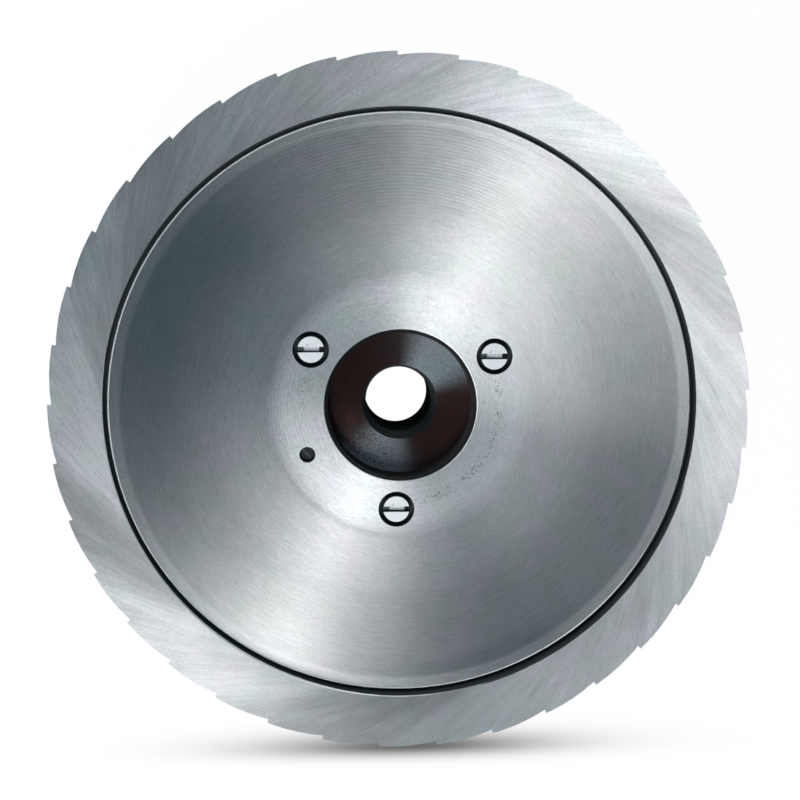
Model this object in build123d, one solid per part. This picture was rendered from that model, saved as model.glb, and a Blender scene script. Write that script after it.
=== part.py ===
from build123d import *
import math
import os

# Slicing knife disc with its hub, in millimetres.
# The Z axis is the axis of rotation. The origin is on it, in the rear face of
# the hub, and the hollow front side of the blade faces +Z.

# Blade: outline and teeth
blade_diameter = 250.0
tooth_count = 37
tooth_depth = 1.35
tooth_crown = 0.55
first_tooth_angle = 3.3
edge_thickness = 0.5

# Blade: section through the rim, the groove, the dish and the flange
rim_rise = 3.7
rim_inner_diameter = 213.6
rim_inner_thickness = 6.4
groove_width = 1.2
groove_depth = 1.3
groove_lip_chamfer = 0.3
dish_edge_drop = 3.8
dish_land_width = 4.2
dish_land_rise = 0.5
dish_rise = 8.5
dish_thickness = 3.8
flange_flat_diameter = 92.0
flange_thickness = 7.5
centre_hole_diameter = 56.0
centre_hole_chamfer = 0.5

# Hub: front well, flange, rear sleeve and bore
lip_clearance = 0.1
lip_wall = 1.0
lip_setback = 0.5
well_depth = 10.5
hub_flange_diameter = 98.0
hub_flange_thickness = 9.0
sleeve_diameter = 46.0
sleeve_length = 29.5
sleeve_root_cone = 3.0
hub_edge_chamfer = 1.0
bore_diameter = 25.0
bore_taper_depth = 8.4
bore_taper_mouth = 28.2

# Slotted screws and the pin that locates the blade
screw_count = 3
bolt_circle_diameter = 78.0
first_screw_angle = 27.6
screw_diameter = 6.0
screw_head_diameter = 10.2
screw_head_height = 3.9
screw_head_setback = 0.1
screw_head_chamfer = 0.3
screw_slot_width = 2.1
screw_slot_depth = 1.8
screw_slot_direction = 0.0
screw_reach = 7.6
screw_tip_chamfer = 0.7
counterbore_diameter = 13.4
screw_passage_clearance = 0.3
thread_clearance = 0.05
pin_diameter = 5.8
pin_setback = 2.2
pin_chamfer = 0.5
pin_clearance = 0.05
pin_reach = 8.0

# Heights and radii that follow from the sizes above
seat_height = sleeve_length + hub_flange_thickness
front_height = seat_height + flange_thickness
dish_edge_height = front_height + dish_rise
rim_inner_height = dish_edge_height + dish_edge_drop
edge_height = rim_inner_height + rim_rise
well_height = front_height - well_depth
blade_radius = blade_diameter / 2
rim_inner_radius = rim_inner_diameter / 2
dish_edge_radius = rim_inner_radius - groove_width
flange_flat_radius = flange_flat_diameter / 2
centre_hole_radius = centre_hole_diameter / 2
hub_flange_radius = hub_flange_diameter / 2
lip_radius = centre_hole_radius - lip_clearance
bolt_circle_radius = bolt_circle_diameter / 2
counterbore_depth = screw_head_height + screw_head_setback
head_seat_height = front_height - counterbore_depth
tooth_pitch = 360.0 / tooth_count
screw_pitch = 360.0 / screw_count


def polar(radius, angle):
    """A point in plan, from its distance to the axis and its angle in degrees."""
    turn = math.radians(angle)
    return (radius * math.cos(turn), radius * math.sin(turn))


def section(corners):
    """A closed flat section in the XZ plane, from corners of (radius, height)."""
    return make_face(Polyline(*[(radius, 0, height) for radius, height in corners], close=True))


def on_bolt_circle(shape, angle):
    """A copy of a shape made on the axis, moved out to the bolt circle."""
    x, y = polar(bolt_circle_radius, angle)
    return Pos(x, y, 0) * shape


def post(radius, bottom, top):
    """An upright cylinder on the axis, between two heights."""
    return Pos(0, 0, bottom) * extrude(Circle(radius), top - bottom)


def toothed_outline():
    """The saw-like outline: a short steep face, then a crowned back that falls away."""
    root_radius = blade_radius - tooth_depth
    edges = []
    for tooth in range(tooth_count):
        start = first_tooth_angle + tooth * tooth_pitch
        root = polar(root_radius, start)
        tip = polar(blade_radius, start)
        crown = polar(blade_radius - tooth_depth * (1 - tooth_crown) / 2, start + tooth_pitch / 2)
        next_root = polar(root_radius, start + tooth_pitch)
        edges.append(Line(root, tip))
        edges.append(ThreePointArc(tip, crown, next_root))
    return make_face(Wire(edges))


def blade_section():
    """Half of the blade's section, from the centre hole out to the cutting edge."""
    land_radius = dish_edge_radius - dish_land_width
    groove_floor = dish_edge_height - groove_depth
    return section([
        (centre_hole_radius, seat_height),
        (centre_hole_radius, front_height - centre_hole_chamfer),
        (centre_hole_radius + centre_hole_chamfer, front_height),
        (flange_flat_radius, front_height),
        (land_radius, dish_edge_height - dish_land_rise),
        (dish_edge_radius - groove_lip_chamfer, dish_edge_height),
        (dish_edge_radius, dish_edge_height - groove_lip_chamfer),
        (dish_edge_radius, groove_floor),
        (rim_inner_radius, groove_floor),
        (rim_inner_radius, rim_inner_height - groove_lip_chamfer),
        (rim_inner_radius + groove_lip_chamfer, rim_inner_height),
        (blade_radius, edge_height),
        (blade_radius, edge_height - edge_thickness),
        (rim_inner_radius, rim_inner_height - rim_inner_thickness),
        (land_radius, dish_edge_height - dish_land_rise - dish_thickness),
        (hub_flange_radius, seat_height),
    ])


def screw_angles():
    """The place of each screw on the bolt circle."""
    return [first_screw_angle + index * screw_pitch for index in range(screw_count)]


def pin_angle():
    """The pin stands half way between the second screw and the third."""
    return first_screw_angle + 1.5 * screw_pitch


def blade():
    """The toothed steel disc, with its counterbored screw holes and its pin hole."""
    disc = revolve(blade_section(), Axis.Z)
    disc = disc & extrude(toothed_outline(), edge_height)
    passage_radius = screw_diameter / 2 + screw_passage_clearance
    passage = post(passage_radius, seat_height, front_height)
    counterbore = post(counterbore_diameter / 2, head_seat_height, front_height)
    for angle in screw_angles():
        disc = disc - on_bolt_circle(passage, angle)
        disc = disc - on_bolt_circle(counterbore, angle)
    pin_hole = post(pin_diameter / 2 + pin_clearance, seat_height, front_height)
    return disc - on_bolt_circle(pin_hole, pin_angle())


def hub_section():
    """Half of the hub's section: sleeve, flange, centring lip and sunk well face."""
    bore_radius = bore_diameter / 2
    sleeve_radius = sleeve_diameter / 2
    lip_inner_radius = lip_radius - lip_wall
    lip_top = front_height - lip_setback
    return section([
        (bore_radius + hub_edge_chamfer, 0),
        (sleeve_radius - hub_edge_chamfer, 0),
        (sleeve_radius, hub_edge_chamfer),
        (sleeve_radius, sleeve_length - sleeve_root_cone),
        (sleeve_radius + sleeve_root_cone, sleeve_length),
        (hub_flange_radius - hub_edge_chamfer, sleeve_length),
        (hub_flange_radius, sleeve_length + hub_edge_chamfer),
        (hub_flange_radius, seat_height),
        (lip_radius, seat_height),
        (lip_radius, lip_top),
        (lip_inner_radius, lip_top),
        (lip_inner_radius, well_height),
        (bore_taper_mouth / 2, well_height),
        (bore_radius, well_height - bore_taper_depth),
        (bore_radius, hub_edge_chamfer),
    ])


def hub():
    """The turned hub behind the blade, bored for the shaft and tapped for the screws."""
    body = revolve(hub_section(), Axis.Z)
    tapped = post(screw_diameter / 2 + thread_clearance, sleeve_length, seat_height)
    for angle in screw_angles():
        body = body - on_bolt_circle(tapped, angle)
    pin_hole = post(pin_diameter / 2 + pin_clearance, seat_height - pin_reach, seat_height)
    return body - on_bolt_circle(pin_hole, pin_angle())


def screw(angle):
    """A slotted cheese-head screw, its head just below the face of the blade."""
    head_radius = screw_head_diameter / 2
    shank_radius = screw_diameter / 2
    head_top = head_seat_height + screw_head_height
    tip = seat_height - screw_reach
    turned = revolve(section([
        (0, tip),
        (shank_radius - screw_tip_chamfer, tip),
        (shank_radius, tip + screw_tip_chamfer),
        (shank_radius, head_seat_height),
        (head_radius, head_seat_height),
        (head_radius, head_top - screw_head_chamfer),
        (head_radius - screw_head_chamfer, head_top),
        (0, head_top),
    ]), Axis.Z)
    slot_height = head_top - screw_slot_depth / 2
    slot = Box(screw_head_diameter, screw_slot_width, screw_slot_depth)
    slot = Pos(0, 0, slot_height) * Rot(0, 0, screw_slot_direction) * slot
    return on_bolt_circle(turned - slot, angle)


def locating_pin():
    """The dowel that keys the blade to the hub, sunk below the face of the blade."""
    radius = pin_diameter / 2
    bottom = seat_height - pin_reach
    top = front_height - pin_setback
    turned = revolve(section([
        (0, bottom),
        (radius - pin_chamfer, bottom),
        (radius, bottom + pin_chamfer),
        (radius, top - pin_chamfer),
        (radius - pin_chamfer, top),
        (0, top),
    ]), Axis.Z)
    return on_bolt_circle(turned, pin_angle())


os.makedirs("parts", exist_ok=True)
export_step(blade(), "parts/blade.step")
export_step(hub(), "parts/hub.step")
export_step(locating_pin(), "parts/locating_pin.step")
for index, angle in enumerate(screw_angles(), start=1):
    export_step(screw(angle), f"parts/screw_{index}.step")
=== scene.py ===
# %% [markdown]
# A toothed slicing disc on its black hub, seen from above.
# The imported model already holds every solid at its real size: the disc, the
# hub, three slotted screws and a pin. This lesson gives each of them the
# finish of the real one. Most of the look of such a disc is in its tool marks:
# a lathe leaves fine rings on the dish, and a cup wheel leaves slanted
# scratches on the rim. Both stretch every highlight across the marks.

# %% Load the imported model
import math

import bpy
from mathutils import Matrix, Vector


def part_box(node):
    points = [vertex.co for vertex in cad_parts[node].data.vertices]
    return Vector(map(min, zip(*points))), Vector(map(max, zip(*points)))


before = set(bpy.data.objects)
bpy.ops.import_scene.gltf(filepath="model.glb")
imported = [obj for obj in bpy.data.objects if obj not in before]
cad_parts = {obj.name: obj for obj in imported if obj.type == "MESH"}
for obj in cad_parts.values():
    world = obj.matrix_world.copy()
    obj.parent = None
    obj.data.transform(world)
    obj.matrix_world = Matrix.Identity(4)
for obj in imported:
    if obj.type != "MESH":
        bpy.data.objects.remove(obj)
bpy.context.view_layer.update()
bpy.ops.object.select_all(action="DESELECT")
print("nodes:", ", ".join(sorted(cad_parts)))

# %% [markdown]
# Everything here is in metres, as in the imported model, and MM turns a size in
# millimetres into metres. Sizes that a finish needs, such as where the rim
# begins, are named once, in millimetres. The axis of rotation is the Z axis, so
# a radius is a distance to it, and a height is measured from the table.

# %% Sizes that the finishes share
MM = 0.001
blade_low, blade_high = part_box("blade")
hub_low, hub_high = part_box("hub")
screw_low, screw_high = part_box("screw_1")
TIP_RADIUS = 125.0
RIM_RADIUS = 106.8
DISH_EDGE_RADIUS = 105.6
LAND_RADIUS = 101.4
FLANGE_RADIUS = 46.0
CENTRE_HOLE_RADIUS = 28.0
WELL_RADIUS = 26.9
BORE_RADIUS = 12.5
RIM_RISE = 3.7
GROOVE_STEP = 3.8
DISH_RISE = 8.5
LAND_RISE = 0.5
FLANGE_THICKNESS = 7.5
WELL_DEPTH = 10.5
TAPER_DEPTH = 8.4
LIP_CHAMFER = 0.3
HEAD_SETBACK = 0.1
HEAD_TOP = screw_high.z / MM
FACE_HEIGHT = HEAD_TOP + HEAD_SETBACK
RIM_EDGE_HEIGHT = FACE_HEIGHT + DISH_RISE + GROOVE_STEP
WELL_HEIGHT = FACE_HEIGHT - WELL_DEPTH
DISH_SLOPE = (DISH_RISE - LAND_RISE) / (LAND_RADIUS - FLANGE_RADIUS)
RIM_SLOPE = RIM_RISE / (TIP_RADIUS - RIM_RADIUS)
print("disc is", round((blade_high.x - blade_low.x) / MM, 1), "mm wide")
print("hub is", round((hub_high.z - hub_low.z) / MM, 1), "mm tall")
print("flange of the dish is", round(FACE_HEIGHT, 1), "mm above the table")
print("the dish rises by", round(100 * DISH_SLOPE, 1), "percent")

# %% [markdown]
# The camera hangs close above the disc, about nine degrees off its axis, as the
# bore's visible wall and the shifted circles of the real one show. It could be
# placed by coordinates, but an azimuth, a tilt from the axis and a distance to
# the plane of the tooth tips are easier to think in. The lens is long enough to
# fill the frame with the disc.

# %% Camera
CAMERA_AZIMUTH = math.radians(110)
CAMERA_TILT = math.radians(8.8)
CAMERA_DISTANCE = 439 * MM
AIM_OFFSET = Vector((-1.1 * MM, 4.3 * MM, 0))
FOCAL_LENGTH = 55.5


def direction(azimuth, tilt):
    """Unit vector at an azimuth about Z and a tilt away from it, both in radians."""
    flat = math.sin(tilt)
    return Vector((flat * math.cos(azimuth), flat * math.sin(azimuth), math.cos(tilt)))


def look_at(place, target, up=Vector((0, 1, 0))):
    """Matrix that stands at a place, looks at a target and keeps up at the top of the picture."""
    forward = (target - place).normalized()
    right = forward.cross(up).normalized()
    turned = Matrix((right, right.cross(forward), -forward)).transposed().to_4x4()
    return Matrix.Translation(place) @ turned


tip_centre = Vector((0, 0, blade_high.z))
camera_place = tip_centre + CAMERA_DISTANCE * direction(CAMERA_AZIMUTH, CAMERA_TILT)
camera = bpy.data.objects.new("camera", bpy.data.cameras.new("camera"))
camera.data.lens = FOCAL_LENGTH
camera.data.clip_start = 0.01
camera.matrix_world = look_at(camera_place, tip_centre + AIM_OFFSET)
bpy.context.scene.collection.objects.link(camera)
bpy.context.scene.camera = camera
bpy.context.scene.view_settings.view_transform = "Standard"
print("camera stands at", [round(1000 * c) for c in camera.matrix_world.translation], "mm")

# %% [markdown]
# Every material is a small network of nodes. It could be wired node by node, but
# most of that is the same three steps: add a node, set its options, and fill its
# sockets with numbers or with what other nodes give. One function does them. A
# second one turns the hex colours of a colour chart, which are stored for a
# screen, into the linear colours that light is worked out with.


# %% One function that adds a node
def linear(code):
    """Linear RGBA of an sRGB hex colour such as '#8a9095'."""
    shares = [int(code[start:start + 2], 16) / 255 for start in (1, 3, 5)]
    return tuple(s / 12.92 if s <= 0.04045 else ((s + 0.055) / 1.055) ** 2.4 for s in shares) + (1.0,)


def add(tree, kind, sockets=(), result=0, **options):
    """Add a node, set its options, fill its sockets and give back one of its outputs, if it has any.

    Sockets are a list in their order, or a dictionary by name or number. Each one gets a
    number, a vector, a hex colour or the output of another node.
    """
    node = tree.nodes.new("ShaderNode" + kind)
    for name, option in options.items():
        setattr(node, name, option)
    for socket, term in sockets.items() if isinstance(sockets, dict) else enumerate(sockets):
        if isinstance(term, bpy.types.NodeSocket):
            tree.links.new(term, node.inputs[socket])
        else:
            node.inputs[socket].default_value = linear(term) if isinstance(term, str) else term
    return node.outputs[result] if node.outputs else None


def new_material(name):
    """An empty node material and its tree."""
    material = bpy.data.materials.new(name)
    material.use_nodes = True
    material.node_tree.nodes.clear()
    return material, material.node_tree


print("mid grey is", round(linear("#808080")[0], 3), "in linear light")

# %% [markdown]
# A finish changes from place to place: the groove is painted dark with shade and oil, the flange is pitted.
# Such places could be painted by hand on an image, but an image blurs close up.
# Here they are masks, which are 1 inside a place and 0 outside it, and are made
# from limits and smooth steps. Masks are combined like this: all of them, any of
# them, or the opposite of one.


# %% Masks
def above(tree, source, limit):
    """1 where a value is above a limit."""
    return add(tree, "Math", [source, limit], operation="GREATER_THAN")


def below(tree, source, limit):
    """1 where a value is below a limit."""
    return add(tree, "Math", [source, limit], operation="LESS_THAN")


def step_up(tree, source, low, high):
    """A smooth step of a value from 0 at low to 1 at high."""
    return add(tree, "MapRange", {"Value": source, "From Min": low, "From Max": high},
               interpolation_type="SMOOTHSTEP")


def between(tree, source, low, high, soft=0.05):
    """1 where a value lies between low and high, with soft ends."""
    rise = step_up(tree, source, low - soft, low + soft)
    fall = step_up(tree, source, high - soft, high + soft)
    return add(tree, "Math", [rise, fall], operation="SUBTRACT")


def all_of(tree, *masks):
    """1 where all masks are 1. A number among them makes the place fainter."""
    result = masks[0]
    for mask in masks[1:]:
        result = add(tree, "Math", [result, mask], operation="MULTIPLY")
    return result


def any_of(tree, first, second):
    """1 where either mask is 1."""
    return add(tree, "Math", [first, second], operation="MAXIMUM")


def opposite(tree, mask):
    """1 where a mask is 0, and 0 where it is 1."""
    return add(tree, "Math", [1.0, mask], operation="SUBTRACT")


print("masks are ready")

# %% [markdown]
# A mask picks one of two values, or paints one colour over another. Anything
# between 0 and 1 gives a blend, which is what makes soft ends. Noise lies between
# 0 and 1 as well, and is spread over the range that a finish asks for.


# %% Values and colours by a mask
def spread(tree, source, low, high):
    """A value from 0 to 1 spread evenly from low to high."""
    return add(tree, "Math", [source, high - low, low], operation="MULTIPLY_ADD")


def value_by(tree, mask, outside, inside):
    """One value outside a mask and another inside it."""
    return add(tree, "Mix", {0: mask, 2: outside, 3: inside}, data_type="FLOAT")


def painted(tree, under, mask, over):
    """A colour with another one painted over it inside a mask."""
    return add(tree, "Mix", {0: mask, 6: under, 7: over}, result=2, data_type="RGBA")


def scaled(tree, vector, amount):
    """A vector made longer or shorter, or a colour made lighter or darker, by an amount."""
    return add(tree, "VectorMath", {0: vector, "Scale": amount}, operation="SCALE")


def moved(tree, vector, way, length):
    """A vector moved by a length along another one."""
    return add(tree, "VectorMath", [vector, scaled(tree, way, length)], operation="ADD")


print("values and colours are ready")

# %% [markdown]
# A turned piece is best painted in round coordinates: the distance to the axis,
# the angle round it and the height. Noise that is read on a circle has no seam
# where the angle jumps from 180 to minus 180 degrees, so the angle goes into
# a noise as a point of a circle, with a third coordinate of its own.


# %% Round coordinates
def turning_coordinates(tree):
    """Height and radius in millimetres, angle, and the directions outwards and round the axis."""
    place = add(tree, "TexCoord", result="Object")
    split = add(tree, "SeparateXYZ", [place]).node.outputs
    flat = add(tree, "VectorMath", [place, (1, 1, 0)], operation="MULTIPLY")
    length = add(tree, "VectorMath", [flat], result="Value", operation="LENGTH")
    outward = add(tree, "VectorMath", [flat], operation="NORMALIZE")
    return {
        "place": place,
        "height": add(tree, "Math", [split["Z"], MM], operation="DIVIDE"),
        "radius": add(tree, "Math", [length, MM], operation="DIVIDE"),
        "angle": add(tree, "Math", [split["Y"], split["X"]], operation="ARCTAN2"),
        "outward": outward,
        "sideways": add(tree, "VectorMath", [(0, 0, 1), outward], operation="CROSS_PRODUCT"),
    }


def around(tree, angle, size, third):
    """A vector for a noise that runs round a circle without a seam, with any third coordinate."""
    cosine = add(tree, "Math", [angle], operation="COSINE")
    sine = add(tree, "Math", [angle], operation="SINE")
    across = add(tree, "Math", [cosine, size], operation="MULTIPLY")
    upward = add(tree, "Math", [sine, size], operation="MULTIPLY")
    return add(tree, "CombineXYZ", [across, upward, third])


def near_angle(tree, angle, middle, width):
    """1 at an angle and 0 farther than a width from it, both in degrees."""
    off = add(tree, "Math", [angle, math.radians(middle)], operation="SUBTRACT")
    closeness = add(tree, "Math", [off], operation="COSINE")
    return step_up(tree, closeness, math.cos(math.radians(width)), 1.0)


def patch(tree, at, middle, width, inner, outer, soft=0.05):
    """1 near an angle and between two radii, in degrees and millimetres."""
    return all_of(tree, near_angle(tree, at["angle"], middle, width),
                  between(tree, at["radius"], inner, outer, soft))


def by_radius(tree, radius, stops):
    """A grey or a value that changes with the radius, from pairs of a radius and a grey or a value."""
    share = add(tree, "Math", [radius, TIP_RADIUS], operation="DIVIDE")
    colour = add(tree, "ValToRGB", [share], result="Color")
    ramp = colour.node.color_ramp
    while len(ramp.elements) < len(stops):
        ramp.elements.new(0.5)
    for element, (stop, value) in zip(ramp.elements, stops):
        element.position = stop / TIP_RADIUS
    # Moving a stop can change the order of the others, so the values are set in a second round.
    for element, (stop, value) in zip(ramp.elements, stops):
        element.color = linear(value) if isinstance(value, str) else (value, value, value, 1.0)
    return colour


print("round coordinates are ready")

# %% [markdown]
# Inside the groove the lathe's feed has left rings on the disc. They are a noise
# that changes fast with the radius and slowly with the angle. Real rings are a
# tenth of a millimetre apart, too fine to show from here, so they are drawn
# coarser. In two places the tool has chattered, which leaves even waves.

# %% Marks of the lathe
RING_SPACING = 0.9
RING_TURNS = 3.0
MARK_WIDTH = 0.45
MARK_TURNS = 15.0
SHORT_MARK_SHARE = 0.7
CHATTER_SPACING = 1.2
CHATTER_GAP_SIZE = 16.667
# Chattered patches: middle and half width in degrees, inner and outer radius, soft edge, strength.
CHATTER_PATCHES = [(92.0, 42.0, 74.0, 104.0, 6.0, 1.0), (178.0, 40.0, 36.0, 54.0, 4.0, 0.6)]


def lathe_marks(tree, at):
    """Rings of the lathe's feed, and short marks along them."""
    ring = add(tree, "Math", [at["radius"], RING_SPACING], operation="DIVIDE")
    mark = add(tree, "Math", [at["radius"], MARK_WIDTH], operation="DIVIDE")
    rings = add(tree, "TexNoise", {"Vector": around(tree, at["angle"], RING_TURNS, ring), "Scale": 1.0})
    short = add(tree, "TexNoise", {"Vector": around(tree, at["angle"], MARK_TURNS, mark), "Scale": 1.0})
    return value_by(tree, SHORT_MARK_SHARE, rings, short)


def chatter(tree, at):
    """Even rings where the tool has chattered, broken up by gaps."""
    phase = add(tree, "Math", [at["radius"], 2 * math.pi / CHATTER_SPACING], operation="MULTIPLY")
    wave = add(tree, "Math", [phase], operation="SINE")
    gaps = add(tree, "TexNoise", {"Vector": at["place"], "Scale": 1 / (CHATTER_GAP_SIZE * MM)})
    patches = 0.0
    for *outline, strength in CHATTER_PATCHES:
        chattered = patch(tree, at, *outline)
        patches = add(tree, "Math", [chattered, strength, patches], operation="MULTIPLY_ADD")
    return all_of(tree, wave, patches, gaps)


print("the tool has chattered in", len(CHATTER_PATCHES), "places")

# %% [markdown]
# Outside the groove a cup wheel has left curved scratches. They slant inwards by
# twenty degrees at the groove and by nearly forty at the teeth. They could be
# drawn one by one, but there are thousands. All points of one scratch share a
# value: the angle plus a turn that grows with the radius. Noise that is read with
# that value in place of the angle is drawn out along the scratches. Three widths
# are made, again coarser than the real ones: fine, middle and broad.

# %% Marks of the grinding wheel
SCRATCH_SLANT = (math.radians(20), math.radians(38))
# Scratches: width and length of the run in millimetres.
FINE_SCRATCH = (0.38, 6.0)
MIDDLE_SCRATCH = (1.2, 8.0)
BROAD_SCRATCH = (4.0, 12.0)
MIDDLE_SCRATCH_SHARE = 0.4
# Smears, where the wheel has rubbed brighter or duller: middle and half width in degrees, strength.
SMEARS = [(38, 14, -0.26), (76, 20, 0.20), (149, 11, -0.17), (189, 16, 0.32), (214, 13, -0.30),
          (270, 19, -0.30)]


def scratch_turn(tree, at):
    """The one value that all points of a curved scratch share: its angle at the groove."""
    first, last = SCRATCH_SLANT
    width = TIP_RADIUS - RIM_RADIUS
    pace = width / (last - first) / (RIM_RADIUS + width / 2)
    slant = add(tree, "MapRange", {"Value": at["radius"], "From Min": RIM_RADIUS, "From Max": TIP_RADIUS,
                                   "To Min": first, "To Max": last})
    sine = add(tree, "Math", [slant], operation="SINE")
    growth = add(tree, "Math", [sine, math.sin(first)], operation="DIVIDE")
    climb = add(tree, "Math", [growth, math.e], operation="LOGARITHM")
    return add(tree, "Math", [climb, pace, at["angle"]], operation="MULTIPLY_ADD")


def wheel_scratches(tree, at, turn, width, run):
    """Curved scratches of one width, each fading out along its run."""
    lines = RIM_RADIUS * math.sin(sum(SCRATCH_SLANT) / 2) / width
    along = add(tree, "Math", [at["radius"], run], operation="DIVIDE")
    return add(tree, "TexNoise", {"Vector": around(tree, turn, lines, along), "Scale": 1.0})


def wheel_smears(tree, turn):
    """How much brighter or duller the rim is where the wheel has rubbed, as a factor."""
    total = 0.0
    for middle, width, strength in SMEARS:
        smear = near_angle(tree, turn, middle, width)
        total = add(tree, "Math", [smear, strength, total], operation="MULTIPLY_ADD")
    return add(tree, "Math", [total], operation="EXPONENT")


print("a scratch slants by", [round(math.degrees(slant)) for slant in SCRATCH_SLANT], "degrees")

# %% [markdown]
# The disc is chromium steel, polished in some regions more than in others. Its
# grey and its roughness change with the radius, so each is one ramp. The smears
# of the wheel, the marks, a grain and smudges then make the grey a little lighter
# or darker. A metal that gives back more light than falls on it would look false,
# so the grey has a ceiling before the marks are put on.

# %% Grey of the steel
STEEL_BY_RADIUS = [
    (31.0, "#f2f2f2"), (37.0, "#f8f8f8"), (43.0, "#f7f7f7"), (50.0, "#cfcfcf"), (58.0, "#cacaca"),
    (66.0, "#c1c1c1"), (74.0, "#b3b3b3"), (84.0, "#adadad"), (100.6, "#ababab"), (102.2, "#c5c5c5"),
    (105.0, "#c5c5c5"), (106.9, "#dcdcdc"), (112.0, "#e0e0e0"), (118.0, "#e7e7e7"), (TIP_RADIUS, "#e7e7e7")]
BRIGHTEST_STEEL = 0.93
GRAIN_SIZE = 0.7
SMUDGE_SIZE = 7.0
TINT_SIZE = 14.286
# How much darker and lighter each pattern makes the steel.
BROAD_SHADES = (0.80, 1.20)
MARK_SHADES = (0.72, 1.28)
CHATTER_SHADES = (1.0, 1.18)
GRAIN_SHADES = (0.80, 1.20)
SMUDGE_SHADES = (0.92, 1.08)
LAND_EDGE_SHADES = (1.0, 1.06)
FLANGE_BEND_PAINTED_SHADE = (1.0, 0.80)
# The painted shade along the bend at the flange's edge, a soft darker arc: middle and half width, inner and
# outer radius, soft edge.
FLANGE_BEND_SHADE_ARC = (235.0, 46.0, 48.1, 49.9, 0.9)
# The bright inner edge of the land: inner and outer radius, soft edge.
LAND_EDGE_RING = (LAND_RADIUS + 0.1, LAND_RADIUS + 0.8, 0.4)


def polished_steel(tree, at, on_rim, turn, marks):
    """Grey of the metal by region and smears of the wheel, then the marks, a grain and faint tints."""
    broad = wheel_scratches(tree, at, turn, *BROAD_SCRATCH)
    smear = all_of(tree, wheel_smears(tree, turn), spread(tree, broad, *BROAD_SHADES))
    steel = by_radius(tree, at["radius"], STEEL_BY_RADIUS)
    steel = scaled(tree, steel, value_by(tree, on_rim, 1.0, smear))
    steel = add(tree, "VectorMath", [steel, (BRIGHTEST_STEEL,) * 3], operation="MINIMUM")
    grain = add(tree, "TexNoise", {"Vector": at["place"], "Scale": 1 / (GRAIN_SIZE * MM), "Roughness": 0.6})
    smudge = add(tree, "TexNoise", {
        "Vector": at["place"], "Scale": 1 / (SMUDGE_SIZE * MM), "Detail": 3.0, "Roughness": 0.6})
    land_edge = between(tree, at["radius"], *LAND_EDGE_RING)
    # The soft arc at the flange's bend is painted shade.
    for pattern, shades in (
            (marks, MARK_SHADES), (chatter(tree, at), CHATTER_SHADES), (grain, GRAIN_SHADES),
            (smudge, SMUDGE_SHADES), (land_edge, LAND_EDGE_SHADES),
            (patch(tree, at, *FLANGE_BEND_SHADE_ARC), FLANGE_BEND_PAINTED_SHADE)):
        steel = scaled(tree, steel, spread(tree, pattern, *shades))
    # Large faint tints of green and blue, as cleaning has left them.
    tint = add(tree, "TexNoise", {"Vector": at["place"], "Scale": 1 / (TINT_SIZE * MM)})
    tint = painted(tree, "#fafefc", step_up(tree, tint, 0.35, 0.65), "#fefcff")
    return add(tree, "VectorMath", [steel, tint], operation="MULTIPLY")


print("steel has", len(STEEL_BY_RADIUS), "stops from", STEEL_BY_RADIUS[0][0], "to", TIP_RADIUS, "mm")

# %% [markdown]
# Use has left its traces on the disc. Small pits lie on a ring round the flange,
# most of them at its right and lower right. They could be bumps, but at this size
# only their dark colour shows. Specks are drawn only where larger clouds allow
# them, so that they gather as real pits do.

# %% Pits of the flange
PIT_SIZE = 0.76923
PIT_CLOUD_SIZE = 5.8824
# Specks and clouds are cut out of a noise between two levels.
PIT_LEVELS = (0.52, 0.62)
CLOUD_LEVELS = (0.41, 0.53)
# Pitted arcs: middle and half width in degrees, strength. All lie on one ring, which is given by
# its inner and outer radius and its soft edge.
PIT_ARCS = [(352.0, 46.0, 1.0), (304.0, 28.0, 1.0), (168.0, 16.0, 0.5)]
PIT_RING = (35.3, 37.5, 1.2)
# How strongly pits show beside the arcs and in them.
PIT_STRENGTHS = (0.04, 0.90)


def flange_pits(tree, at):
    """Small pits in clouds, most of them in arcs of one ring."""
    specks = add(tree, "TexNoise", {
        "Vector": at["place"], "Scale": 1 / (PIT_SIZE * MM), "Detail": 3.0, "Roughness": 0.6})
    clouds = add(tree, "TexNoise", {
        "Vector": at["place"], "Scale": 1 / (PIT_CLOUD_SIZE * MM), "Detail": 3.0, "Roughness": 0.6})
    arcs = 0.0
    for middle, width, strength in PIT_ARCS:
        arcs = any_of(tree, arcs, all_of(tree, near_angle(tree, at["angle"], middle, width), strength))
    arcs = all_of(tree, arcs, between(tree, at["radius"], *PIT_RING))
    return all_of(tree, step_up(tree, specks, *PIT_LEVELS), step_up(tree, clouds, *CLOUD_LEVELS),
                  spread(tree, arcs, *PIT_STRENGTHS))


print("pits lie", PIT_RING[0], "to", PIT_RING[1], "mm from the axis")

# %% [markdown]
# The groove and the holes are painted dark: painted shade in these recesses,
# and in the groove old oil as well. At the lower right the painted shade reaches
# over the groove's outer edge, and there it is darkest. The lips of the groove
# are painted white as highlights, and at the left the top of its outer wall as
# well. Each of these is a ring or a piece of one, so it is given by two radii,
# and by an angle where it doesn't run all round.

# %% Painted shade and oil, and painted highlights on the lips
HIGHLIGHT_DOT_SIZE = 0.71429
WALL_HIGHLIGHT_REACH = 2.2
# Rings: inner and outer radius, soft edge.
GROOVE_RING = (DISH_EDGE_RADIUS, RIM_RADIUS + 0.06, 0.03)
INNER_LIP_RING = (DISH_EDGE_RADIUS - 0.6, DISH_EDGE_RADIUS - 0.03, 0.03)
OUTER_LIP_RING = (RIM_RADIUS + 0.05, RIM_RADIUS + LIP_CHAMFER, 0.03)
EDGE_SHADE_RING = (RIM_RADIUS, RIM_RADIUS + 0.5, 0.06)
SCREW_HOLE_RING = (CENTRE_HOLE_RADIUS + 1.0, FLANGE_RADIUS - 0.1)
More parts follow.
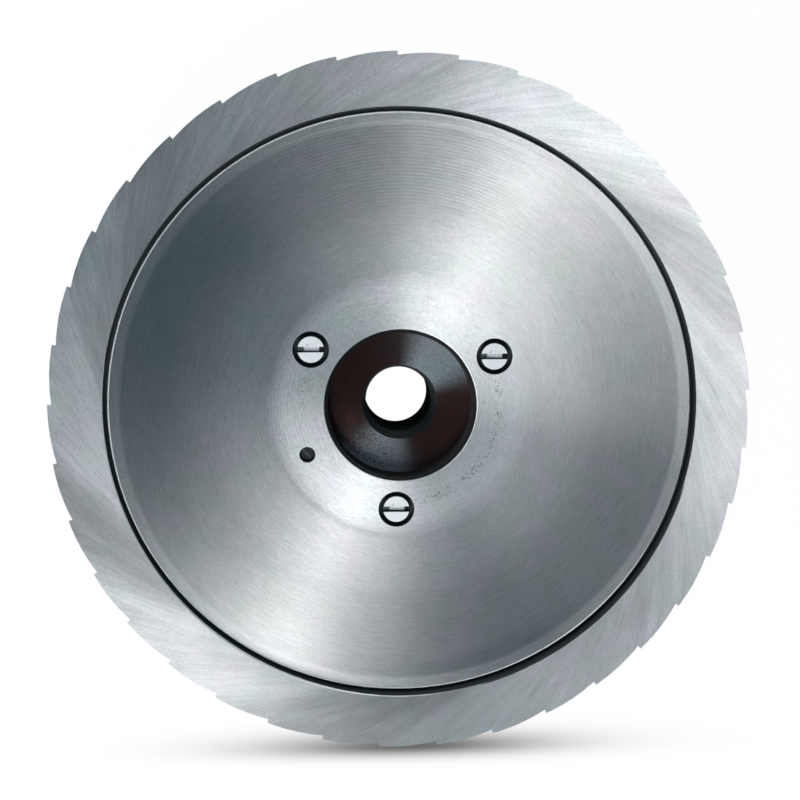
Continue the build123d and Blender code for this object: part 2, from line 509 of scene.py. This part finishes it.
# Arcs: middle and half width in degrees.
INNER_LIP_WITHOUT_HIGHLIGHT = (5.0, 60.0)
OUTER_LIP_HIGHLIGHT = (250.0, 36.0)
WALL_HIGHLIGHT_ARC = (218.0, 54.0)
EDGE_SHADE_ARC = (315.0, 36.0)
BLACKEST_GROOVE_SHADE = (338.0, 75.0)


def groove_places(tree, at):
    """Where the groove is painted dark as shade and oil, and where its wall is painted as a highlight."""
    groove = between(tree, at["radius"], *GROOVE_RING)
    # The top of the outer wall is painted white as a highlight at the lower left.
    reach = spread(tree, near_angle(tree, at["angle"], *WALL_HIGHLIGHT_ARC), 0.0, WALL_HIGHLIGHT_REACH)
    highlight_from = add(tree, "Math", [RIM_EDGE_HEIGHT, reach], operation="SUBTRACT")
    wall_highlight = all_of(tree, above(tree, at["height"], highlight_from), groove)
    groove_shade_and_oil = add(tree, "Math", [groove, wall_highlight], operation="SUBTRACT")
    # At the lower right the groove's painted shade reaches over its outer edge.
    edge_shade = all_of(tree, between(tree, at["radius"], *EDGE_SHADE_RING),
                   step_up(tree, near_angle(tree, at["angle"], *EDGE_SHADE_ARC), 0.05, 0.4))
    return any_of(tree, groove_shade_and_oil, edge_shade), wall_highlight


def painted_lip_highlights(tree, at):
    """White dotted lips painted as highlights: the inner one nearly all round, the outer one at the lower
    left.
    """
    inner = all_of(tree, opposite(tree, near_angle(tree, at["angle"], *INNER_LIP_WITHOUT_HIGHLIGHT)),
                   between(tree, at["radius"], *INNER_LIP_RING))
    outer = patch(tree, at, *OUTER_LIP_HIGHLIGHT, *OUTER_LIP_RING)
    dots = add(tree, "TexNoise", {
        "Vector": at["place"], "Scale": 1 / (HIGHLIGHT_DOT_SIZE * MM), "Detail": 1.0})
    return all_of(tree, any_of(tree, inner, outer), step_up(tree, dots, 0.1, 0.4))


def hole_places(tree, at):
    """The screw holes and the centre hole of the disc."""
    in_flange = above(tree, at["height"], FACE_HEIGHT - FLANGE_THICKNESS + 0.1)
    screw_holes = all_of(tree, between(tree, at["radius"], *SCREW_HOLE_RING),
                         below(tree, at["height"], FACE_HEIGHT - 0.05), in_flange)
    centre_hole = all_of(tree, below(tree, at["radius"], CENTRE_HOLE_RADIUS + 0.25), in_flange)
    return screw_holes, centre_hole


print("the groove is", round(RIM_RADIUS - DISH_EDGE_RADIUS, 1), "mm wide")

# %% [markdown]
# Light shows the shape of metal more than its colour does. The mesh bends sharply
# where the flange meets the dish, but the real bend is soft. The shape could be
# changed, but the solids are fixed, so only the direction that the shader takes
# for the surface is turned. The same way tilts the steel a little at each mark
# and rounds the outer edge of the groove.

# %% Direction of the steel's surface
BEND_REACH = (4.0, 5.0)
MARK_TILT_DISH = 0.03
MARK_TILT_RIM = 0.06
WORN_EDGE_RING = (RIM_RADIUS + 0.02, RIM_RADIUS + LIP_CHAMFER + 0.05, 0.02)
# The upward part of a surface's direction, which is 1 where the surface is level.
FRONT_FACING = 0.8
CHAMFER_FACING = 0.3
REAR_FACING = -0.3


def worn_normal(tree, at, true_normal, facing_up, on_rim, marks):
    """The surface's direction with a soft bend at the flange, tilted marks and a worn groove edge."""
    front = above(tree, facing_up, FRONT_FACING)
    inward_reach, outward_reach = BEND_REACH
    soft_bend = step_up(tree, at["radius"], FLANGE_RADIUS - inward_reach, FLANGE_RADIUS + outward_reach)
    sharp_bend = above(tree, at["radius"], FLANGE_RADIUS)
    bend = add(tree, "Math", [sharp_bend, soft_bend], operation="SUBTRACT")
    lean_out = all_of(tree, bend, front, below(tree, at["radius"], LAND_RADIUS), DISH_SLOPE)
    mark_side = add(tree, "Math", [marks, 0.5], operation="SUBTRACT")
    lean_side = all_of(tree, mark_side, front, value_by(tree, on_rim, MARK_TILT_DISH, MARK_TILT_RIM))
    normal = moved(tree, true_normal, at["outward"], lean_out)
    normal = moved(tree, normal, at["sideways"], lean_side)
    # The outer edge of the groove is worn round, so it shades like the rim beside it.
    worn_edge = all_of(tree, above(tree, facing_up, CHAMFER_FACING),
                       between(tree, at["radius"], *WORN_EDGE_RING))
    rim_normal = moved(tree, (0, 0, 1), at["outward"], -RIM_SLOPE)
    normal = moved(tree, scaled(tree, normal, opposite(tree, worn_edge)), rim_normal, worn_edge)
    return add(tree, "VectorMath", [normal], operation="NORMALIZE")


print("the bend is", sum(BEND_REACH), "mm wide")

# %% [markdown]
# Marks that all run one way spread a highlight across themselves. That is what
# the shader's anisotropy does: its Tangent is the way across the marks. On the
# dish that is outwards, and on the rim it is turned a little. Lathe and wheel
# marks share one surface, so the disc is one material that asks how far a point
# is from the axis. The groove and the holes are painted dark as shade, with old
# oil in the groove, and the lips are painted white as highlights, so neither is
# made metallic.

# %% Turned and ground chromium steel
ROUGHNESS_BY_RADIUS = [
    (0.0, 0.59), (44.0, 0.59), (50.0, 0.52), (62.0, 0.50), (90.0, 0.433), (100.6, 0.433), (102.2, 0.504),
    (105.5, 0.504), (107.0, 0.60), (TIP_RADIUS, 0.60)]
HIGHLIGHT_SLANT = math.radians(15)
HIGHLIGHT_STRETCH = 0.957
DULL_ROUGHNESS = 0.9
REAR_PAINTED_SHADE = 0.6


def turned_and_ground_steel():
    """Chromium steel, turned in the dish and ground on the rim: long soft highlights across the marks."""
    material, tree = new_material("turned_and_ground_chromium_steel")
    at = turning_coordinates(tree)
    on_rim = step_up(tree, at["radius"], RIM_RADIUS - 0.1, RIM_RADIUS)
    turn = scratch_turn(tree, at)
    scratches = value_by(tree, MIDDLE_SCRATCH_SHARE, wheel_scratches(tree, at, turn, *FINE_SCRATCH),
                         wheel_scratches(tree, at, turn, *MIDDLE_SCRATCH))
    marks = value_by(tree, on_rim, lathe_marks(tree, at), scratches)
    colour = polished_steel(tree, at, on_rim, turn, marks)
    colour = painted(tree, colour, flange_pits(tree, at), "#4a5356")
    # Painted shade and oil in the groove, painted highlights on the lips, painted shade in the holes.
    groove_shade_and_oil, wall_highlight = groove_places(tree, at)
    # The groove's painted shade and oil, darkest at the lower right.
    groove_shade_and_oil_tone = painted(tree, "#2a3235", near_angle(tree, at["angle"], *BLACKEST_GROOVE_SHADE), "#0c1012")
    # The lips and the top of the wall, painted white as highlights.
    lip_highlights = any_of(tree, painted_lip_highlights(tree, at), wall_highlight)
    screw_holes, centre_hole = hole_places(tree, at)
    # The screw holes and the centre hole are painted dark as shade.
    for place, tone in ((groove_shade_and_oil, groove_shade_and_oil_tone), (lip_highlights, "#ffffff"), (screw_holes, "#3a454a"), (centre_hole, "#0f1314")):
        colour = painted(tree, colour, place, tone)
    dull = any_of(tree, lip_highlights, any_of(tree, any_of(tree, screw_holes, centre_hole), groove_shade_and_oil))
    # The rear, facing down, is painted darker as shade.
    true_normal = add(tree, "NewGeometry", result="Normal")
    facing_up = add(tree, "SeparateXYZ", [true_normal], result="Z")
    colour = scaled(tree, colour, spread(tree, below(tree, facing_up, REAR_FACING), 1.0, REAR_PAINTED_SHADE))
    slant = all_of(tree, on_rim, math.tan(HIGHLIGHT_SLANT))
    roughness = by_radius(tree, at["radius"], ROUGHNESS_BY_RADIUS)
    shader = add(tree, "BsdfPrincipled", {
        "Base Color": colour, "Metallic": opposite(tree, dull),
        "Roughness": value_by(tree, dull, roughness, DULL_ROUGHNESS),
        "Anisotropic": HIGHLIGHT_STRETCH, "Tangent": moved(tree, at["outward"], at["sideways"], slant),
        "Normal": worn_normal(tree, at, true_normal, facing_up, on_rim, marks)})
    add(tree, "OutputMaterial", [shader])
    return material


print("steel is smoothest at", min(roughness for radius, roughness in ROUGHNESS_BY_RADIUS))

# %% [markdown]
# The hub is blackened in a hot salt bath. Its skin of iron oxide is hardly
# thicker than a wavelength, so it keeps the turning marks of the steel below,
# and on the sunk face its colour is a brown black. Two grey patches with soft
# ends are painted on it as the highlight of the turning marks: the one at the
# upper right is only painted highlight, the one at the lower left lies partly
# over worn, pitted steel. Brown rust comes through at one side, beside pits.

# %% Skin of the sunk face, with painted highlights, rust and pits
SHEEN_ANGLE = 50.0
PIT_PATCH_ANGLE = 248.0
PAINTED_SHEEN_HALF_WIDTH = 46.0
RUST_SIZE = 2.0
HUB_PIT_SIZE = 0.66667
# Rust: middle and half width in degrees, inner and outer radius, soft edge.
RUST_PATCH = (210.0, 32.0, 15.5, 26.0, 2.0)
# Pits: middle and half width in degrees, strength.
HUB_PITS = [(PIT_PATCH_ANGLE - 15.0, 42.0, 1.0), (SHEEN_ANGLE, 60.0, 0.3)]
HUB_PIT_RING = (14.5, 26.0, 1.0)


def skin_with_painted_sheen(tree, at, mottle, grain):
    """Brown-black skin of the sunk face, with two grey patches of painted highlight, rust and pits."""
    skin = painted(tree, "#150705", mottle, "#34150f")
    # The grey patches are painted highlights; the lower left one is partly worn, pitted steel.
    for middle, tone in ((SHEEN_ANGLE, "#88949a"), (PIT_PATCH_ANGLE, "#727a81")):
        worn = near_angle(tree, at["angle"], middle, PAINTED_SHEEN_HALF_WIDTH)
        worn = all_of(tree, worn, worn, spread(tree, grain, 0.2, 1.8))
        skin = painted(tree, skin, worn, tone)
    streaks = add(tree, "TexNoise", {
        "Vector": at["place"], "Scale": 1 / (RUST_SIZE * MM), "Detail": 3.0, "Roughness": 0.7})
    rust = all_of(tree, patch(tree, at, *RUST_PATCH), step_up(tree, streaks, 0.45, 0.60), 0.8)
    skin = painted(tree, skin, rust, "#4a1c12")
    specks = add(tree, "TexNoise", {
        "Vector": at["place"], "Scale": 1 / (HUB_PIT_SIZE * MM), "Roughness": 0.6})
    pits = 0.0
    for middle, width, strength in HUB_PITS:
        pitted = near_angle(tree, at["angle"], middle, width)
        pits = add(tree, "Math", [pitted, strength, pits], operation="MULTIPLY_ADD")
    pits = all_of(tree, pits, between(tree, at["radius"], *HUB_PIT_RING), step_up(tree, specks, 0.53, 0.60))
    return painted(tree, skin, all_of(tree, pits, 0.85), "#0b0d0e")


print("the hub is worn at", SHEEN_ANGLE, "and", PIT_PATCH_ANGLE, "degrees")

# %% [markdown]
# Elsewhere the hub has kept its oxide and is blue-black, a little lighter in the
# taper at the mouth of the bore. The turning marks are a relief of a hundredth of
# a millimetre, and they stretch the highlights as they do on the disc. A skin of
# oxide is no bare metal, so the shader isn't metallic.

# %% Black oxide of the hub
HUB_RING_SPACING = 0.5
HUB_RING_TURNS = 1.6
MOTTLE_SIZE = 3.8462
SKIN_GRAIN_SIZE = 0.90909
# The sunk face and the taper, by radius and height: from, to, and a soft edge for the taper.
SUNK_FACE_RING = (BORE_RADIUS + 1.6, WELL_RADIUS - 0.1)
SUNK_FACE_HEIGHTS = (WELL_HEIGHT - 0.3, WELL_HEIGHT + 0.3)
TAPER_HEIGHTS = (WELL_HEIGHT - TAPER_DEPTH - 1.2, WELL_HEIGHT - 0.1, 0.3)
TAPER_REACH = BORE_RADIUS + 1.7


def black_oxide():
    """Blackened turned steel: brown-black on the sunk face, blue-black elsewhere."""
    material, tree = new_material("black_oxide_on_turned_steel")
    at = turning_coordinates(tree)
    ring = add(tree, "Math", [at["radius"], HUB_RING_SPACING], operation="DIVIDE")
    rings = add(tree, "TexNoise", {"Vector": around(tree, at["angle"], HUB_RING_TURNS, ring),
                                   "Scale": 1.0, "Detail": 3.0, "Roughness": 0.6})
    mottle = add(tree, "TexNoise", {
        "Vector": at["place"], "Scale": 1 / (MOTTLE_SIZE * MM), "Detail": 4.0, "Roughness": 0.6})
    grain = add(tree, "TexNoise", {
        "Vector": at["place"], "Scale": 1 / (SKIN_GRAIN_SIZE * MM), "Detail": 3.0, "Roughness": 0.6})
    # Only the sunk face is brown. The bore, its taper, the lip and the rear are blue-black.
    on_face = all_of(tree, between(tree, at["radius"], *SUNK_FACE_RING),
                     between(tree, at["height"], *SUNK_FACE_HEIGHTS))
    in_taper = all_of(tree, below(tree, at["radius"], TAPER_REACH),
                      between(tree, at["height"], *TAPER_HEIGHTS))
    colour = painted(tree, "#090b0c", on_face, skin_with_painted_sheen(tree, at, mottle, grain))
    colour = painted(tree, colour, in_taper, "#2b3534")
    relief = add(tree, "Bump", {"Strength": 1.0, "Distance": 0.01 * MM, "Height": rings})
    dents = add(tree, "Bump", {"Strength": 1.0, "Distance": 0.03 * MM, "Height": grain, "Normal": relief},
                invert=True)
    shader = add(tree, "BsdfPrincipled", {
        "Base Color": colour, "IOR": 1.4, "Anisotropic": 0.9, "Tangent": at["outward"], "Normal": dents,
        "Roughness": value_by(tree, on_face, 0.75, spread(tree, mottle, 0.36, 0.46))})
    add(tree, "OutputMaterial", [shader])
    return material


print("the sunk face is", round(WELL_HEIGHT, 1), "mm above the table")

# %% [markdown]
# The screws are zinc plated and tumbled, so their heads are an even bright
# white-grey. The slot's floor is painted with light and shade: a painted
# highlight in its middle, painted shade at its ends and along its lower wall.
# The side of the head is painted dark as shade, and the driver has scuffed the
# face in short arcs. Each screw has its own copy of the material, because the
# marks are placed from the middle of its head.

# %% Places on a screw's head
HEAD_RADIUS = (screw_high.x - screw_low.x) / 2 / MM
SLOT_HALF_WIDTH = 1.05
SLOT_DEPTH = 1.8
# Scuffs and the nick, in millimetres from the middle of the head: from, to, soft edge.
SCUFF_RING = (2.0, 2.12, 0.06)
SCUFFED_ABOVE = 0.6
NICK_SLOPE = 1.3
NICK_ACROSS = (3.2, 3.6, 0.1)
NICK_ALONG = (1.2, 2.2, 0.1)
# Where the slot's painted light and shade change: from, to.
GREY_END = (-2.9, -2.1)
BLACK_END = (2.9, 3.2)
SHADED_LOWER_WALL = (-0.8, -0.6)


def place_on_head(tree, centre):
    """Coordinates in millimetres on a screw's head or a pin's end, measured from its middle."""
    place = add(tree, "TexCoord", result="Object")
    place = add(tree, "VectorMath", [place, (centre.x, centre.y, 0.0)], operation="SUBTRACT")
    place = scaled(tree, place, 1 / MM)
    split = add(tree, "SeparateXYZ", [place]).node.outputs
    flat = add(tree, "VectorMath", [place, (1, 1, 0)], operation="MULTIPLY")
    return {"place": place, "x": split["X"], "y": split["Y"], "height": split["Z"],
            "radius": add(tree, "VectorMath", [flat], result="Value", operation="LENGTH")}


def scuffed_face(tree, at, grain):
    """The plated face of a head, with thin arcs above the slot and one nick."""
    face = painted(tree, "#d2d5d5", grain, "#f4f6f6")
    scuff = all_of(tree, between(tree, at["radius"], *SCUFF_RING), above(tree, at["y"], SCUFFED_ABOVE),
                   step_up(tree, grain, 0.40, 0.55), 0.6)
    nick_line = add(tree, "Math", [at["x"], -NICK_SLOPE, at["y"]], operation="MULTIPLY_ADD")
    nick = all_of(tree, between(tree, nick_line, *NICK_ACROSS), between(tree, at["y"], *NICK_ALONG), 0.7)
    face = painted(tree, face, scuff, "#9a9fa1")
    return painted(tree, face, nick, "#50575b")


def slot_painted_light_and_shade(tree, at):
    """The slot's floor, painted with light and shade: grey left end, bright middle, black right end, dark
    lower wall.
    """
    floor = painted(tree, "#6c7478", step_up(tree, at["x"], *GREY_END), "#ffffff")
    floor = painted(tree, floor, step_up(tree, at["x"], *BLACK_END), "#0c0f10")
    return painted(tree, floor, opposite(tree, step_up(tree, at["y"], *SHADED_LOWER_WALL)), "#0c0f10")


print("screw heads are", round(2 * HEAD_RADIUS, 1), "mm across")

# %% [markdown]
# Tumbled zinc scatters light nearly evenly. As a full metal it would mirror the
# dim room and look dark, so its face is only one third metallic, and rather
# rough. The pin is hardened steel, sunk in its hole. It is painted dark as shade,
# with one lighter band across it, and it isn't made metallic.

# %% Zinc plated screws and the pin in painted shade
SCREW_GRAIN_SIZE = 0.625
FACE_METALLIC = 0.35
# The side of the head is painted dark as shade from this far inside its edge: from, to.
HEAD_EDGE = (HEAD_RADIUS - 0.32, HEAD_RADIUS - 0.22)
BAND_NOISE_SIZE = 1.25
LIGHTER_BAND = (-0.9, 0.5, 0.5)


def bright_screw_steel(centre, seed):
    """Zinc plated steel, tumbled: bright and even, with scuffs of the driver, and light and shade painted
    in the slot and on the side.
    """
    material, tree = new_material("zinc_plated_screw_steel")
    at = place_on_head(tree, centre)
    own = add(tree, "VectorMath", [at["place"], (0.0, 0.0, 7.0 * seed)], operation="ADD")
    grain = add(tree, "TexNoise", {
        "Vector": own, "Scale": 1 / SCREW_GRAIN_SIZE, "Detail": 4.0, "Roughness": 0.65})
    off_middle = add(tree, "Math", [at["y"]], operation="ABSOLUTE")
    in_slot = all_of(tree, below(tree, at["height"], HEAD_TOP - 0.1),
                     below(tree, off_middle, SLOT_HALF_WIDTH + 0.05),
                     above(tree, at["height"], HEAD_TOP - SLOT_DEPTH - 0.1))
    # The side of the head is painted dark as shade.
    side = step_up(tree, at["radius"], *HEAD_EDGE)
    colour = painted(tree, scuffed_face(tree, at, grain), in_slot, slot_painted_light_and_shade(tree, at))
    colour = painted(tree, colour, side, "#101315")
    metallic = spread(tree, any_of(tree, side, in_slot), FACE_METALLIC, 0.0)
    relief = add(tree, "Bump", {"Strength": 0.6, "Distance": 0.02 * MM, "Height": grain})
    shader = add(tree, "BsdfPrincipled", {
        "Base Color": colour, "Metallic": metallic, "Roughness": 0.6, "Normal": relief})
    add(tree, "OutputMaterial", [shader])
    return material


def dark_pin_steel(centre):
    """Hardened steel of the pin, painted dark as shade, with one lighter band."""
    material, tree = new_material("hardened_pin_steel_in_painted_shade")
    at = place_on_head(tree, centre)
    diagonal = add(tree, "Math", [at["x"], at["y"]], operation="ADD")
    band_noise = add(tree, "TexNoise", {
        "Vector": at["place"], "Scale": 1 / BAND_NOISE_SIZE, "Detail": 3.0, "Roughness": 0.6})
    band = all_of(tree, between(tree, diagonal, *LIGHTER_BAND), band_noise)
    colour = painted(tree, "#1b2022", band, "#57605f")
    shader = add(tree, "BsdfPrincipled", {"Base Color": colour, "Roughness": 0.6})
    add(tree, "OutputMaterial", [shader])
    return material


print("a slot is", 2 * SLOT_HALF_WIDTH, "mm wide and", SLOT_DEPTH, "mm deep")

# %% [markdown]
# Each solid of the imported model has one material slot. The finish goes into that
# slot, and the solid itself is left as it is.


# %% Give each node its finish
def middle_of(name):
    """The middle of a node's box."""
    low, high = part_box(name)
    return (low + high) / 2


FINISHES = {
    "blade": turned_and_ground_steel(),
    "hub": black_oxide(),
    "locating_pin": dark_pin_steel(middle_of("locating_pin")),
}
for seed, name in enumerate(sorted(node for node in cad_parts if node.startswith("screw"))):
    FINISHES[name] = bright_screw_steel(middle_of(name), seed)
for name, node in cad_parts.items():
    node.data.materials[0] = FINISHES[name]
    print(name, "is", node.data.materials[0].name)

# %% [markdown]
# The table is one large pale plane. Most of its light is its own, so that it
# looks white to the camera, and a small part is what the lamps give it, so that
# it keeps a faint shadow. The bore goes right through the hub, so the table
# inside it is white as well, but only to the camera: the bore's wall is nearly
# black. A disc this close to a table keeps light away from it. A soft pool of
# shade lies below it, with a dark strip at the near edge. Lamps at a plain level
# don't give that strip, so both are drawn in the board.

# %% Shade on the table
TABLE_OWN_LIGHT = 0.97
BORE_VIEW_RADIUS = BORE_RADIUS + 1.5
# The strip and the pool: their centres, lengths and radii are in millimetres.
SHADE_CENTRE = (6.0, -151.6, 0.0)
SHADE_HALF_LENGTH = 45.0
SHADE_OUTER_FALL = 3.4
SHADE_INNER_FALL = 4.5
SHADE_DEPTH = 0.86
POOL_CENTRE = (3.3, -9.0, 0.0)
POOL_CORE = 40.0
POOL_RADIUS = 146.0
POOL_DEPTH = 0.45


def strip_of_shade(tree, place):
    """1 in the middle of the strip, falling off fast across it and slowly along it."""
    off = add(tree, "VectorMath", [place, SHADE_CENTRE], operation="SUBTRACT")
    split = add(tree, "SeparateXYZ", [off]).node.outputs
    fall = spread(tree, above(tree, split["Y"], 0.0), SHADE_OUTER_FALL, SHADE_INNER_FALL)
    along = add(tree, "Math", [split["X"], SHADE_HALF_LENGTH], operation="DIVIDE")
    across = add(tree, "Math", [split["Y"], fall], operation="DIVIDE")
    away = add(tree, "CombineXYZ", [along, across])
    away = add(tree, "VectorMath", [away], result="Value", operation="LENGTH")
    return add(tree, "Math", [all_of(tree, away, away, -0.5)], operation="EXPONENT")


def pool_of_shade(tree, place):
    """1 below the middle of the disc, falling off to its edge."""
    off = add(tree, "VectorMath", [place, POOL_CENTRE], operation="SUBTRACT")
    off = add(tree, "VectorMath", [off], result="Value", operation="LENGTH")
    return opposite(tree, step_up(tree, off, POOL_CORE, POOL_RADIUS))


def white_table():
    """Matt white board: most of its light is its own, so that it looks white and still takes a shadow."""
    material, tree = new_material("matt_white_board")
    ray = add(tree, "LightPath").node.outputs
    at = turning_coordinates(tree)
    place = scaled(tree, at["place"], 1 / MM)
    in_bore = all_of(tree, ray["Is Camera Ray"], below(tree, at["radius"], BORE_VIEW_RADIUS))
    mirrored = all_of(tree, any_of(tree, ray["Is Glossy Ray"], ray["Is Transmission Ray"]),
                      above(tree, at["radius"], BORE_VIEW_RADIUS))
    bright = all_of(tree, spread(tree, strip_of_shade(tree, place), 1.0, 1.0 - SHADE_DEPTH),
                    spread(tree, pool_of_shade(tree, place), 1.0, 1.0 - POOL_DEPTH))
    bright = any_of(tree, bright, in_bore)
    own_share = all_of(tree, any_of(tree, ray["Is Camera Ray"], mirrored), TABLE_OWN_LIGHT)
    board = add(tree, "BsdfDiffuse", {"Color": bright})
    own = add(tree, "Emission", {"Color": "#ffffff", "Strength": bright})
    mix = add(tree, "MixShader", [any_of(tree, own_share, in_bore), board, own])
    add(tree, "OutputMaterial", [mix])
    return material


print("the strip of shade is about", 2 * SHADE_HALF_LENGTH, "mm long")

# %% [markdown]
# The board is far larger than the disc, so that no view from the side shows its
# end close by.

# %% Table
TABLE_SIZE = 12.0

bpy.ops.mesh.primitive_plane_add(size=TABLE_SIZE)
table = bpy.context.object
table.name = "table"
table.data.materials.append(white_table())
print("table is", TABLE_SIZE, "m wide")

# %% [markdown]
# Light comes from a few long soft lamps, most of them low beside the disc. Low
# lamps are what gives turned steel its bright and dark wedges, because the wall
# of the dish mirrors them on the far side only. Each lamp is given by its
# azimuth, its tilt from the axis, its width and height in metres and its power
# in watts, and all stand equally far away and look at the disc.

# %% Lamps
LAMP_DISTANCE = 1.2
LAMPS = {
    "low_left_lamp": {"azimuth": 209, "tilt": 78, "width": 1.21, "height": 0.31, "power": 24.4},
    "low_upper_left_lamp": {"azimuth": 154, "tilt": 77, "width": 1.26, "height": 0.22, "power": 10.6},
    "small_upper_lamp": {"azimuth": 80, "tilt": 52, "width": 0.12, "height": 0.18, "power": 1.1},
    "low_lower_lamp": {"azimuth": 280, "tilt": 65, "width": 0.99, "height": 0.13, "power": 2.2},
    "upright_lower_lamp": {"azimuth": 253, "tilt": 33, "width": 0.14, "height": 0.76, "power": 6.1},
    "long_upper_lamp": {"azimuth": 86, "tilt": 48, "width": 1.27, "height": 0.12, "power": 1.6},
}


def soft_lamp(name, azimuth, tilt, width, height, power):
    """A long area lamp that looks at the disc from an azimuth and a tilt from the axis, in degrees."""
    data = bpy.data.lights.new(name, "AREA")
    data.shape = "RECTANGLE"
    data.size = width
    data.size_y = height
    data.energy = power
    lamp = bpy.data.objects.new(name, data)
    place = LAMP_DISTANCE * direction(math.radians(azimuth), math.radians(tilt))
    lamp.matrix_world = look_at(place, Vector((0, 0, 0)), Vector((0, 0, 1)))
    lamp.visible_camera = False
    bpy.context.scene.collection.objects.link(lamp)
    return lamp


for name, settings in LAMPS.items():
    soft_lamp(name, **settings)
print("lamps:", ", ".join(LAMPS))

# %% [markdown]
# The room is dim and a little blue, and that tints the dark wedges of the steel.
# To the camera it is white. Mirrored rays see white only up to a little above the
# horizon, where a white backdrop would stand: a room that is white all over would
# turn the steel white too.

# %% Room
ROOM_LIGHT = (0.066, 0.125, 0.163, 1.0)
BACKDROP_HEIGHT = 0.05

world = bpy.data.worlds.new("room")
bpy.context.scene.world = world
world.use_nodes = True
room = world.node_tree
room.nodes.clear()
ray = add(room, "LightPath").node.outputs
ray_direction = add(room, "TexCoord", result="Generated")
ray_height = add(room, "SeparateXYZ", [ray_direction], result="Z")
mirrored = all_of(room, any_of(room, ray["Is Glossy Ray"], ray["Is Transmission Ray"]),
                  below(room, ray_height, BACKDROP_HEIGHT))
dim = add(room, "Background", {"Color": ROOM_LIGHT})
white = add(room, "Background", {"Color": "#ffffff"})
light = add(room, "MixShader", [any_of(room, ray["Is Camera Ray"], mirrored), dim, white])
add(room, "OutputWorld", [light])
print("mirrored rays see white up to", round(math.degrees(math.asin(BACKDROP_HEIGHT)), 1), "degrees")
